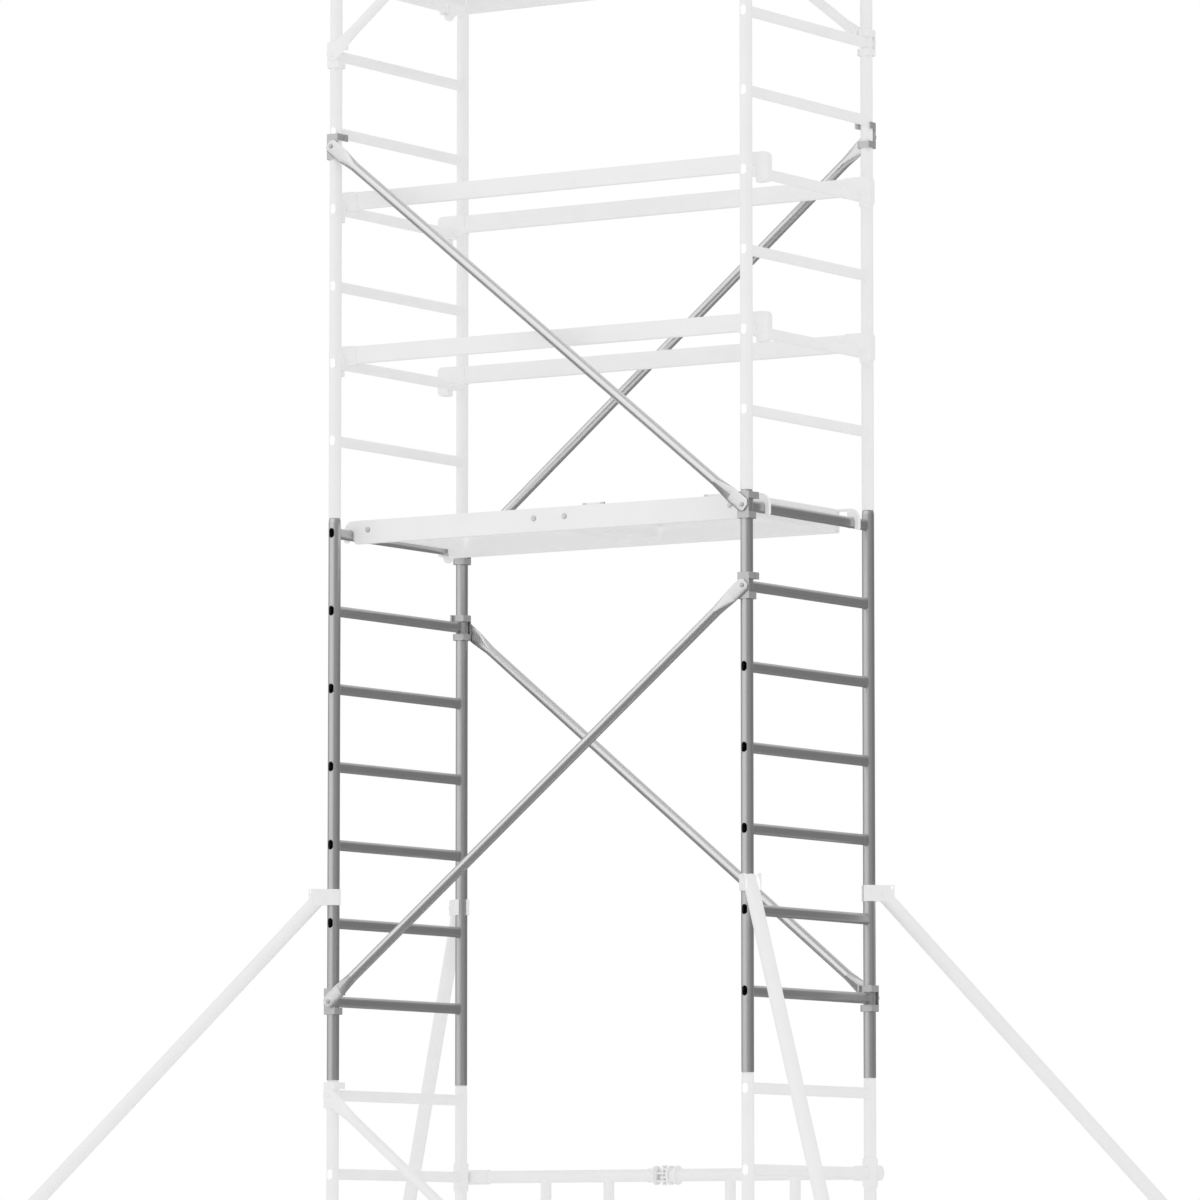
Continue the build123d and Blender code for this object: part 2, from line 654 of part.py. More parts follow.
def wind_lock_pin(rung_z):
    """Headed pin on the side beam that carries the latch."""
    with BuildPart() as pin:
        for start, length, radius in (
            (DECK_WIDTH / 2 + FIT, LOCK_THICKNESS + 1, LOCK_PIN_R),
            (LOCK_Y + LOCK_THICKNESS + 0.5, 3, 2 * LOCK_PIN_R),
        ):
            with BuildSketch(Plane.XZ.offset(-start - length)):
                with Locations((-HALF_LENGTH + LOCK_PIVOT_X, rung_z + LOCK_PIVOT_Z)):
                    Circle(radius)
            extrude(amount=length)
    return pin.part


# ---- guard rails
CLAW_NOTCH = RUNG_WIDTH + 1.0


def rail_claw():
    """Cast claw on a rail's end, hooked over a rung at the origin; the rail comes from -X."""
    height = CLAW_TOP - CLAW_BOTTOM
    with BuildPart() as claw:
        with BuildSketch(Plane.XZ.offset(-CLAW_THICKNESS / 2)):
            with Locations((0, (CLAW_TOP + CLAW_BOTTOM) / 2)):
                RectangleRounded(2 * CLAW_REACH, height, 18)
            SlotOverall(RUNG_HEIGHT + 1, CLAW_NOTCH, rotation=90, mode=Mode.SUBTRACT)
            with Locations((0, CLAW_BOTTOM)):
                Rectangle(CLAW_NOTCH, -2 * CLAW_BOTTOM, mode=Mode.SUBTRACT)
            with Locations((-CLAW_REACH, CLAW_INNER_BOTTOM - 50)):
                Rectangle(2 * CLAW_REACH, 100, mode=Mode.SUBTRACT)
        extrude(amount=CLAW_THICKNESS)
        fillet(claw.edges().filter_by(GeomType.CIRCLE).filter_by(lambda e: e.radius > 17.5), 4)
    return claw.part


def guard_rails(face, frame_z):
    """Knee rail and hand rail of one face: rectangular tubes between their claws."""
    length = BAY_LENGTH - 2 * CLAW_REACH - 2 * FIT
    with BuildPart() as rails:
        for number in (KNEE_RAIL_RUNG, HAND_RAIL_RUNG):
            middle = rung_level(frame_z, number) + RAIL_BOTTOM + RAIL_HEIGHT / 2
            with BuildSketch(Plane.YZ.offset(-length / 2)):
                with Locations((face * (HALF_WIDTH - RAIL_INSET), middle)):
                    RectangleRounded(RAIL_THICKNESS, RAIL_HEIGHT, 4)
                    Rectangle(RAIL_THICKNESS - 5, RAIL_HEIGHT - 5, mode=Mode.SUBTRACT)
            extrude(amount=length)
    return rails


# ---- stabilisers
STABILISER_Z = rung_level(MIDDLE_Z, 2) + STABILISER_RISE
LEAN = atan(STABILISER_RUN)             # from the vertical
TUBE_LENGTH = (STABILISER_Z - BALL_Z) / cos(LEAN)
TUBE_ANGLE = degrees(LEAN) - 90         # from the horizontal, in the stabiliser's own plane
STRUT_JOIN = (STABILISER_Z - STRUT_HIGH_Z) / cos(LEAN)
BAND_R = 31.0
BAND_REACH = 56.0
BAND_HEIGHT = 40.0
STRUT_OVERRUN = 10.0
BOLT_R = 6.0


def outward(side_x, side_y):
    """Unit vector that points from the tower's middle line out through a corner at 45 degrees."""
    return Vector(side_x, side_y, 0).normalized()


def corner_post(side_x, side_y):
    """Foot of a corner's post line, on the ground."""
    return Vector(side_x * HALF_LENGTH, side_y * HALF_WIDTH, 0)


def upright_plane(side_x, side_y):
    """Plane through a corner post: local x is outward, local y is up, and local z is sideways."""
    out = outward(side_x, side_y)
    return Plane(origin=corner_post(side_x, side_y), x_dir=out, z_dir=out.cross(Vector(0, 0, 1)))


def post_clamp(plane_z, side_x, side_y, half_gap):
    """C-shaped band pushed onto a post from outside, with two cheeks that take a pivot bolt."""
    base = corner_post(side_x, side_y) + Vector(0, 0, plane_z - CLAMP_HEIGHT / 2)
    flat = Plane(origin=base, x_dir=outward(side_x, side_y), z_dir=(0, 0, 1))
    cheek_y = half_gap + CHEEK / 2
    with BuildPart() as clamp:
        with BuildSketch(flat):
            Circle(CLAMP_R)
            with Locations((CHEEK_REACH / 2, -cheek_y), (CHEEK_REACH / 2, cheek_y)):
                Rectangle(CHEEK_REACH, CHEEK)
            Circle(POST_R + RUNNING, mode=Mode.SUBTRACT)
            with Locations((-CLAMP_R, 0)):
                Rectangle(2 * CLAMP_R, CLAMP_MOUTH, mode=Mode.SUBTRACT)
        extrude(amount=CLAMP_HEIGHT)
        with BuildSketch(upright_plane(side_x, side_y).offset(-50)):
            with Locations((PIVOT_REACH, plane_z), (CHEEK_REACH - 9, plane_z + CLAMP_HEIGHT / 2 - 9)):
                Circle(BOLT_R + FIT)
        extrude(amount=100, mode=Mode.SUBTRACT)
    return clamp.part


def pivot_bolt(at, side_x, side_y, half_width):
    """Bolt through two cheeks and the tube between them, with a head and a nut."""
    plane = upright_plane(side_x, side_y)
    with BuildPart() as bolt:
        with BuildSketch(plane.offset(-half_width)):
            with Locations(at):
                Circle(BOLT_R)
        extrude(amount=2 * half_width)
        for start, height in ((-half_width - 7, 7), (half_width, 7)):
            with BuildSketch(plane.offset(start)):
                with Locations(at):
                    RegularPolygon(10, 6)
            extrude(amount=height)
    return bolt.part


def pivoted_tube(start, angle, end, overrun, radius, wall, bolts, side_x, side_y):
    """Tube in a stabiliser's plane, from just past a pivot, drilled for its bolts and clear of the clamp."""
    plane = upright_plane(side_x, side_y)
    along = (cos(radians(angle)), sin(radians(angle)))
    direction = plane.x_dir * along[0] + plane.y_dir * along[1]
    pivot = plane.origin + plane.x_dir * start[0] + plane.y_dir * start[1]
    clearance_base = corner_post(side_x, side_y) + Vector(0, 0, start[1] - CLAMP_HEIGHT)
    with BuildPart() as tube:
        with BuildSketch(Plane(origin=pivot - direction * overrun, x_dir=plane.z_dir, z_dir=direction)):
            Circle(radius)
            Circle(radius - wall, mode=Mode.SUBTRACT)
        extrude(amount=overrun + end)
        with BuildSketch(plane.offset(-50)):
            with Locations(*[(start[0] + along[0] * far, start[1] + along[1] * far) for far in bolts]):
                Circle(BOLT_R + FIT)
        extrude(amount=100, mode=Mode.SUBTRACT)
        with BuildSketch(Plane(origin=clearance_base)):
            Circle(CLAMP_R + 0.5)
        extrude(amount=2 * CLAMP_HEIGHT, mode=Mode.SUBTRACT)
    return tube.part


def stabiliser_arm(side_x, side_y):
    """Everything that swings with a stabiliser: clamps, sleeve tube, strut, band and bolts."""
    plane = upright_plane(side_x, side_y)
    run = sin(LEAN)
    drop = cos(LEAN)
    sleeve_gap = STABILISER_R + 0.5
    strut_gap = STRUT_R + 0.5
    pivot = (PIVOT_REACH, STABILISER_Z)
    low_pivot = (PIVOT_REACH, STRUT_LOW_Z)
    band = (pivot[0] + run * STRUT_JOIN, pivot[1] - drop * STRUT_JOIN)
    band_pivot = (band[0] - drop * BAND_REACH, band[1] - run * BAND_REACH)
    strut_length = hypot(band_pivot[0] - low_pivot[0], band_pivot[1] - low_pivot[1])
    strut_angle = degrees(atan2(band_pivot[1] - low_pivot[1], band_pivot[0] - low_pivot[0]))
    direction = plane.x_dir * run - plane.y_dir * drop
    band_origin = plane.origin + plane.x_dir * band[0] + plane.y_dir * band[1]
    band_plane = Plane(
        origin=band_origin - direction * (BAND_HEIGHT / 2), x_dir=plane.z_dir, z_dir=direction
    )
    inward = plane.x_dir * (-drop) - plane.y_dir * run
    toward = 1 if band_plane.y_dir.dot(inward) > 0 else -1
    ear_length = BAND_REACH + 14
    ear_x = strut_gap + CHEEK / 2
    with BuildPart() as band_clip:
        with BuildSketch(band_plane):
            Circle(BAND_R)
            with Locations((-ear_x, toward * ear_length / 2), (ear_x, toward * ear_length / 2)):
                Rectangle(CHEEK, ear_length)
            Circle(STABILISER_R + FIT, mode=Mode.SUBTRACT)
        extrude(amount=BAND_HEIGHT)
        with BuildSketch(plane.offset(-50)):
            with Locations(band_pivot):
                Circle(BOLT_R + FIT)
        extrude(amount=100, mode=Mode.SUBTRACT)
    with BuildPart() as arm:
        add(post_clamp(STABILISER_Z, side_x, side_y, sleeve_gap))
        add(post_clamp(STRUT_LOW_Z, side_x, side_y, strut_gap))
        add(
            pivoted_tube(
                pivot, TUBE_ANGLE, SLEEVE_LENGTH, TUBE_OVERRUN, STABILISER_R, STABILISER_WALL,
                (0.0,), side_x, side_y,
            )
        )
        add(
            pivoted_tube(
                low_pivot, strut_angle, strut_length + STRUT_OVERRUN, STRUT_OVERRUN, STRUT_R, 2.0,
                (0.0, strut_length), side_x, side_y,
            )
        )
        add(band_clip.part)
        add(pivot_bolt(pivot, side_x, side_y, sleeve_gap + CHEEK + FIT))
        add(pivot_bolt(low_pivot, side_x, side_y, strut_gap + CHEEK + FIT))
        add(pivot_bolt(band_pivot, side_x, side_y, strut_gap + CHEEK + FIT))
    return arm


def stabiliser_leg(side_x, side_y):
    """Inner tube that slides in the sleeve, with a ball foot and its rubber pad."""
    plane = upright_plane(side_x, side_y)
    direction = plane.x_dir * sin(LEAN) - plane.y_dir * cos(LEAN)
    pivot = plane.origin + plane.x_dir * PIVOT_REACH + plane.y_dir * STABILISER_Z
    tube_start = SLEEVE_LENGTH - LEG_OVERLAP
    tube_end = TUBE_LENGTH - BALL_R - 0.5
    foot = pivot + direction * TUBE_LENGTH
    inner_r = STABILISER_R - STABILISER_WALL - RUNNING
    seat = FOOT_HEIGHT + FIT
    with BuildPart() as leg:
        with BuildSketch(Plane(origin=pivot + direction * tube_start, x_dir=plane.z_dir, z_dir=direction)):
            Circle(inner_r)
            Circle(inner_r - 2.5, mode=Mode.SUBTRACT)
        extrude(amount=tube_end - tube_start)
        with BuildSketch(Plane(origin=(foot.X, foot.Y, seat))):
            Circle(30)
        extrude(amount=BALL_Z - seat - 14, taper=18)
        with Locations((foot.X, foot.Y, BALL_Z)):
            Sphere(BALL_R)
        with BuildSketch(Plane(origin=(foot.X, foot.Y, 0))):
            Circle(FOOT_R)
        extrude(amount=FOOT_HEIGHT, taper=12)
    return leg


# ---- castors
FLANGE_R = 32.0
CROWN_Z = 240.0
HOUSING_TOP = 288.0
FORK_INNER = WHEEL_WIDTH / 2 + 8
FORK_PLATE = 6.0
BRAKE_X = TRAIL + 43.0
BRAKE_Z = 207.0
BRAKE_PIN_R = 5.0


def castor_stem():
    """Stem that plugs into a base post, with a flange and the king pin below it; post axis at x = 0."""
    flange_top = GROUND_GAP - 0.2
    with BuildPart() as stem:
        with BuildSketch(Plane.XZ):
            Polygon(
                (0, CROWN_Z - 12), (KING_PIN_R, CROWN_Z - 12), (KING_PIN_R, flange_top - 8),
                (FLANGE_R, flange_top - 8), (FLANGE_R, flange_top), (SPIGOT_R, flange_top),
                (SPIGOT_R, GROUND_GAP + STEM_LENGTH), (0, GROUND_GAP + STEM_LENGTH), align=None,
            )
        revolve(axis=Axis.Z)
    return stem.part


def castor_fork():
    """Swivel housing, crown and two cheeks, with the wheel axle and the brake pin held in them."""
    half = FORK_INNER + FORK_PLATE
    with BuildPart() as fork:
        with BuildSketch(Plane.XY.offset(CROWN_Z - 8)):
            with Locations((TRAIL - 10, 0)):
                RectangleRounded(136, 2 * half, 6)
        extrude(amount=8)
        with BuildSketch(Plane.XY.offset(CROWN_Z)):
            Circle(34)
        extrude(amount=HOUSING_TOP - CROWN_Z, taper=6)
        for start in (FORK_INNER, -half):
            with BuildSketch(Plane.XZ.offset(start)):
                with BuildLine():
                    Polyline(
                        (-30, CROWN_Z - 1), (TRAIL + 56, CROWN_Z - 1), (TRAIL + 56, BRAKE_Z - 16),
                        (TRAIL + 20, WHEEL_R), (TRAIL - 20, WHEEL_R), (-30, CROWN_Z - 30), close=True,
                    )
                make_face()
                with Locations((TRAIL, WHEEL_R)):
                    Circle(22)
            extrude(amount=FORK_PLATE)
        with BuildSketch(Plane.XY.offset(CROWN_Z - 20)):
            Circle(KING_PIN_R + RUNNING)
        extrude(amount=100, mode=Mode.SUBTRACT)
        with BuildSketch(Plane.XZ.offset(-half - 1)):
            with Locations((TRAIL, WHEEL_R)):
                Circle(AXLE_R + FIT)
            with Locations((BRAKE_X, BRAKE_Z)):
                Circle(BRAKE_PIN_R + FIT)
        extrude(amount=2 * half + 2, mode=Mode.SUBTRACT)
        for x, z, r in ((TRAIL, WHEEL_R, AXLE_R), (BRAKE_X, BRAKE_Z, BRAKE_PIN_R)):
            with BuildSketch(Plane.XZ.offset(-half - 0.5)):
                with Locations((x, z)):
                    Circle(r)
            extrude(amount=2 * half + 1)
            for start in (half + 0.3, -half - 7.3):
                with BuildSketch(Plane.XZ.offset(start)):
                    with Locations((x, z)):
                        RegularPolygon(1.7 * r, 6)
                extrude(amount=7)
    return fork.part


def castor_wheel():
    """Tyre on a spoked hub that runs on the axle."""
    rim_r = WHEEL_R - TYRE_DEPTH
    hub_r = 24.0
    with BuildPart() as wheel:
        with BuildSketch(Plane.XY) as tyre:
            with Locations((rim_r + TYRE_DEPTH / 2, 0)):
                Rectangle(TYRE_DEPTH, WHEEL_WIDTH)
            fillet(tyre.vertices().group_by(Axis.X)[-1], 10)
        revolve(axis=Axis.Y)
        with BuildSketch(Plane.XZ.offset(-WHEEL_WIDTH / 2 + 3)):
            Circle(rim_r - FIT)
            Circle(rim_r - 8, mode=Mode.SUBTRACT)
            Circle(hub_r)
            with PolarLocations((rim_r - 8 + hub_r) / 2, 6):
                Rectangle(rim_r - hub_r, 9)
            Circle(AXLE_R + RUNNING, mode=Mode.SUBTRACT)
        extrude(amount=WHEEL_WIDTH - 6)
    with BuildPart() as placed:
        with Locations((TRAIL, 0, WHEEL_R)):
            add(wheel.part)
    return placed.part


def castor_brake():
    """Foot pedal that turns on the brake pin above the wheel."""
    half = FORK_INNER - 3
    hub_r = 6.0 + BRAKE_PIN_R - 2
    with BuildPart() as pedal:
        with BuildSketch(Plane.XZ.offset(-half)):
            with Locations((BRAKE_X, BRAKE_Z)):
                Circle(hub_r)
        extrude(amount=2 * half)
        with BuildSketch(Plane.XZ.offset(-half + 5)):
            with BuildLine():
                Polyline(
                    (BRAKE_X, BRAKE_Z + hub_r), (BRAKE_X + 44, BRAKE_Z + 14), (BRAKE_X + 86, BRAKE_Z + 2),
                    (BRAKE_X + 85, BRAKE_Z - 4), (BRAKE_X + 44, BRAKE_Z + 7), (BRAKE_X, BRAKE_Z), close=True,
                )
            make_face()
        extrude(amount=2 * half - 10)
        with BuildSketch(Plane.XZ.offset(-half - 1)):
            with Locations((BRAKE_X, BRAKE_Z)):
                Circle(BRAKE_PIN_R + RUNNING)
        extrude(amount=2 * half + 2, mode=Mode.SUBTRACT)
    return pedal.part


# ---- build and write every piece
os.makedirs("parts", exist_ok=True)

rung_bar = ladder_rung()
posts = {rung_count: ladder_post(rung_count) for rung_count in (RUNGS, GUARD_RUNGS)}
for frame_name, (frame_z, rung_count) in FRAMES.items():
    for side_name, side in (("left", -1), ("right", 1)):
        frame = ladder_frame(side, frame_z, rung_count, posts[rung_count], rung_bar)
        finish(frame, f"{frame_name}_{side_name}")

one_brace = brace()
for brace_name, (face, from_side, from_z, to_side, to_z) in BRACES.items():
    slope = degrees(atan2(to_z - from_z, (to_side - from_side) * HALF_LENGTH))
    middle = (0, face * (HALF_WIDTH + BRACE_OUT), (from_z + to_z) / 2)
    with BuildPart() as placed_brace:
        with Locations(Location(middle, (0, -slope, 0))):
            add(one_brace)
    finish(placed_brace, brace_name)

with BuildPart() as brace_couplers:
    for at_rung in (True, False):
        one_coupler = coupler(top_closed=at_rung)
        with Locations(*coupler_places(at_rung)):
            add(one_coupler)
finish(brace_couplers, "brace_couplers")

one_rivet = brace_rivet()
with BuildPart() as brace_rivets:
    with Locations(*coupler_places(True), *coupler_places(False)):
        add(one_rivet)
finish(brace_rivets, "brace_rivets")

for side_name, side in (("left", -1), ("right", 1)):
    finish(gate_leaf(side), f"gate_leaf_{side_name}")

bracket = gate_bracket()
mirrored_bracket = mirror(bracket, about=Plane.YZ)
with BuildPart() as gate_brackets:
    for height in (GATE_BOTTOM, GATE_TOP):
        with Locations(
            Location((-HALF_LENGTH, HALF_WIDTH, height)),
        ):
            add(bracket)
        with Locations(Location((HALF_LENGTH, HALF_WIDTH, height))):
            add(mirrored_bracket)
finish(gate_brackets, "gate_brackets")

left_knuckle = gate_knuckle(-1, (-25.0, 3.5), (29.0,))
right_knuckle = gate_knuckle(1, (-11.0, 18.0), (24.0, 52.0))
hinge_pin = gate_hinge_pin()
with BuildPart() as gate_centre_hinge:
    with Locations((GATE_HINGE_X, GATE_Y, GATE_BOTTOM), (GATE_HINGE_X, GATE_Y, GATE_TOP)):
        add(left_knuckle)
        add(right_knuckle)
        add(hinge_pin)
finish(gate_centre_hinge, "gate_centre_hinge")

for deck_name, deck_z in (("lower", LOWER_DECK_Z), ("upper", UPPER_DECK_Z)):
    finish(platform_frame(deck_z), f"platform_frame_{deck_name}")
    finish(platform_deck(deck_z), f"platform_deck_{deck_name}")
    finish(hatch_panel(deck_z), f"hatch_{deck_name}")
    finish(wind_lock(deck_z), f"wind_lock_{deck_name}")

nosing = deck_end_profile()
with BuildPart() as deck_end_profiles:
    for deck_z in (LOWER_DECK_Z, UPPER_DECK_Z):
        with Locations(
            Location((DECK_RIGHT, 0, deck_z + BEAM_TOP)),
            Location((DECK_LEFT, 0, deck_z + BEAM_TOP), (0, 0, 180)),
        ):
            add(nosing)
finish(deck_end_profiles, "deck_end_profiles")

left_hook = platform_hook(LEFT_END_GAP)
right_hook = platform_hook(RIGHT_END_GAP)
with BuildPart() as platform_hooks:
    for deck_z in (LOWER_DECK_Z, UPPER_DECK_Z):
        for y in (-BEAM_Y, BEAM_Y):
            with Locations(Location((HALF_LENGTH, y, deck_z))):
                add(right_hook)
            with Locations(Location((-HALF_LENGTH, y, deck_z), (0, 0, 180))):
                add(left_hook)
finish(platform_hooks, "platform_hooks")

fastener = beam_fastener()
with BuildPart() as platform_fasteners:
    for deck_z in (LOWER_DECK_Z, UPPER_DECK_Z):
        head_z = deck_z + BEAM_TOP - BOARD - CROSS_HEIGHT / 2
        for x in CROSS_X:
            with Locations(
                Location((x, -DECK_WIDTH / 2 - FIT, head_z)),
                Location((x, DECK_WIDTH / 2 + FIT, head_z), (0, 0, 180)),
            ):
                add(fastener)
        add(wind_lock_pin(deck_z))
finish(platform_fasteners, "platform_fasteners")

with BuildPart() as hatch_hinges:
    for deck_z in (LOWER_DECK_Z, UPPER_DECK_Z):
        for offset in (-HATCH_HINGE_SPACING / 2, HATCH_HINGE_SPACING / 2):
            add(hatch_hinge(deck_z, HATCH_CENTRE_X + offset))
finish(hatch_hinges, "hatch_hinges")

claw = rail_claw()
with BuildPart() as rail_claws:
    for frame_z in (UPPER_Z, GUARD_Z):
        for number in (KNEE_RAIL_RUNG, HAND_RAIL_RUNG):
            for face in (-1, 1):
                y = face * (HALF_WIDTH - RAIL_INSET)
                z = rung_level(frame_z, number)
                with Locations(Location((-HALF_LENGTH, y, z), (0, 0, 180)), Location((HALF_LENGTH, y, z))):
                    add(claw)
finish(rail_claws, "rail_claws")

for face_name, face in (("front", -1), ("rear", 1)):
    for deck_name, frame_z in (("lower", UPPER_Z), ("upper", GUARD_Z)):
        finish(guard_rails(face, frame_z), f"guard_rails_{deck_name}_{face_name}")

stem = castor_stem()
with BuildPart() as castor_stems:
    with Locations(*[(x * HALF_LENGTH, y * HALF_WIDTH, 0) for x, y in CORNERS.values()]):
        add(stem)
finish(castor_stems, "castor_stems")

fork = castor_fork()
wheel = castor_wheel()
pedal = castor_brake()
for corner_name, (side_x, side_y) in CORNERS.items():
    finish(stabiliser_arm(side_x, side_y), f"stabiliser_arm_{corner_name}")
    finish(stabiliser_leg(side_x, side_y), f"stabiliser_leg_{corner_name}")
    for piece_name, piece in (("fork", fork), ("wheel", wheel), ("brake", pedal)):
        with BuildPart() as castor_piece:
            with Locations((side_x * HALF_LENGTH, side_y * HALF_WIDTH, 0)):
                add(piece)
        finish(castor_piece, f"castor_{piece_name}_{corner_name}")
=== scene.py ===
import json
import math

import bpy
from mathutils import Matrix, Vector

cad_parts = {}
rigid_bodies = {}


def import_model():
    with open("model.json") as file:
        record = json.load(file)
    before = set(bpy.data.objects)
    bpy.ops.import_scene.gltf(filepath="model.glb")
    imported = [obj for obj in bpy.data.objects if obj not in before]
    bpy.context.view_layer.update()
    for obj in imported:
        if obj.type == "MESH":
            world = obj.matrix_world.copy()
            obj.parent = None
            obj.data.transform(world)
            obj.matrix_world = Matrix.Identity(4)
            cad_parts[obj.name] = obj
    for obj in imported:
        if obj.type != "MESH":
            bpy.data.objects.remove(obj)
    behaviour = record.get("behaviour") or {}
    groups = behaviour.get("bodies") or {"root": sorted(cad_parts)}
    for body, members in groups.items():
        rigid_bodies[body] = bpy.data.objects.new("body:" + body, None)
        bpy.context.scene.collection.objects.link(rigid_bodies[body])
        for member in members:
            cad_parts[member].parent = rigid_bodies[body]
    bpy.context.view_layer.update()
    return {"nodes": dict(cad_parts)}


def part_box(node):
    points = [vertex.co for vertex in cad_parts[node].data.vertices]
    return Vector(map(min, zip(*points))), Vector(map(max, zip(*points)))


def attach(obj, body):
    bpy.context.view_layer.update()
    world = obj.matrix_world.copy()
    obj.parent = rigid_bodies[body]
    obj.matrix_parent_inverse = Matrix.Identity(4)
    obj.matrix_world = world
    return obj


for leftover in list(bpy.data.objects):
    bpy.data.objects.remove(leftover)
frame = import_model()
NODES = frame["nodes"]

# All lengths are in metres.

# ---- places worked out from the frame
LEFT_LOW, LEFT_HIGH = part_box("middle_frame_left")
POST_RADIUS = (LEFT_HIGH.x - LEFT_LOW.x) / 2
POST_Y = LEFT_HIGH.y - POST_RADIUS

# Fittings between these heights have the darker finish.
ABOVE_FOOT = 0.1            # clears the couplers of the paler storey below
ABOVE_BRACES = 0.05         # takes in the couplers at the top of the darker braces
DARK_FROM_Z = LEFT_LOW.z + ABOVE_FOOT
DARK_TO_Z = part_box("brace_middle_front")[1].z + ABOVE_BRACES

# The darker storey and its braces; every other aluminium piece has the pale finish.
DARK_FRAMES = ("middle_frame_left", "middle_frame_right")
DARK_BRACES = ("brace_lower_front", "brace_lower_rear", "brace_middle_front", "brace_middle_rear")
PALE_FRAMES = tuple(
    f"{storey}_frame_{side}" for storey in ("base", "upper", "guard") for side in ("left", "right")
)
PALE_BRACES = ("brace_base_front", "brace_upper_front", "brace_upper_rear")
RAILS = tuple(f"guard_rails_{deck}_{face}" for deck in ("lower", "upper") for face in ("front", "rear"))
CORNERS = ("front_left", "rear_left", "front_right", "rear_right")

# ---- the rungs
FIRST_RUNG = 0.280          # above the foot of a ladder frame's posts
RUNG_PITCH = 0.280
RUNG_COUNTS = {"base": 7, "middle": 7, "upper": 7, "guard": 4}
RUNG_HALF_WIDTH = 0.0125
RUNG_HALF_STRAIGHT = 0.007  # half of the flat part of a rung's upright oval

# ---- the rippled weld beads where rungs enter posts
BEAD_RADIUS = 0.0024
BEAD_STEPS = 40
BEAD_SIDES = 8
BEAD_RIPPLES = 22
RIPPLE_DEPTH = 0.12         # share of the bead's radius

# ---- finishes
WHITE = (1.0, 1.0, 1.0)
DARK_METAL = (0.58, 0.58, 0.58)
BRACE_METAL = (0.72, 0.72, 0.72)
DARK_FITTING = (0.58, 0.58, 0.58)
PALE_METAL = (0.68, 0.68, 0.68)
PALE_BOARD = (0.68, 0.679, 0.675)
DARK_PLY = (0.665, 0.66, 0.65)
LIGHT_PLY = (0.72, 0.717, 0.71)
ZINC = (0.72, 0.72, 0.725)
TYRE_GREY = (0.36, 0.36, 0.37)
PEDAL_GREY = (0.52, 0.52, 0.53)
PALE_FILL_GLOW = 0.20            # painted glow: the light the pale finish gives off, lifting it out of shadow
PALE_INSIDE_SHADE = 0.85          # painted shade: how much of its brightness the pale finish keeps inside tubes
PALE_GLOW = 0.5             # its painted glow inside tubes, whose holes are only faintly seen
TYRE_FROM = 0.76            # share of a castor wheel's radius where the tyre begins
PAD_TOP = 0.0241            # just above a stabiliser pad's top face
BOARD_FACING = 0.8          # upward share of a normal that tells a board's face from a cut edge

# ---- studio
FLOOR_SIZE = 60.0
FLOOR_GREY = (0.62, 0.62, 0.62)
FLOOR_IN_METAL = 0.38       # share of the floor's brightness that shiny pieces reflect
FLOOR_BOUNCE = 1.65         # share of it that lights matt pieces from below
KEY_FROM = (-0.42, -0.82, 0.38)
KEY_GLOSS = 0.68
TOP_FROM = (0.0, 0.0, 1.0)
TOP_GLOSS = 0.17
BACK_FROM = (-0.12, 0.80, 0.58)
BACK_GLOSS = 0.42
SHADE_FROM = (0.45, 0.85, -0.25)
SHADE_DEPTH = 0.20
BASE_GLOSS = 0.38
SOFT_FROM = (-0.45, -0.75, 0.45)
SOFT_LOW = 0.87
SOFT_HIGH = 0.96


class NodeTree:
    """An emptied node tree, with short calls to add nodes and link them."""

    def __init__(self, tree):
        self.tree = tree
        self.tree.nodes.clear()

    def add(self, kind, settings=None, **inputs):
        """A new node. An input called i0, i1 and so on goes by its number, any other by its name."""
        node = self.tree.nodes.new(kind)
        for key, value in (settings or {}).items():
            setattr(node, key, value)
        for key, value in inputs.items():
            numbered = key[0] == "i" and key[1:].isdigit()
            self.feed(node.inputs[int(key[1:]) if numbered else key.replace("_", " ")], value)
        return node

    def feed(self, socket, value):
        if isinstance(value, bpy.types.NodeSocket):
            self.tree.links.new(value, socket)
        elif isinstance(value, (tuple, list)) and len(value) == 3 and socket.type == "RGBA":
            socket.default_value = (*value, 1.0)
        else:
            socket.default_value = value

    def math(self, operation, a, b=0.0):
        return self.add("ShaderNodeMath", {"operation": operation}, i0=a, i1=b).outputs[0]

    def mix_values(self, share, a, b):
        return self.add("ShaderNodeMix", {"data_type": "FLOAT"}, i0=share, i2=a, i3=b).outputs[0]


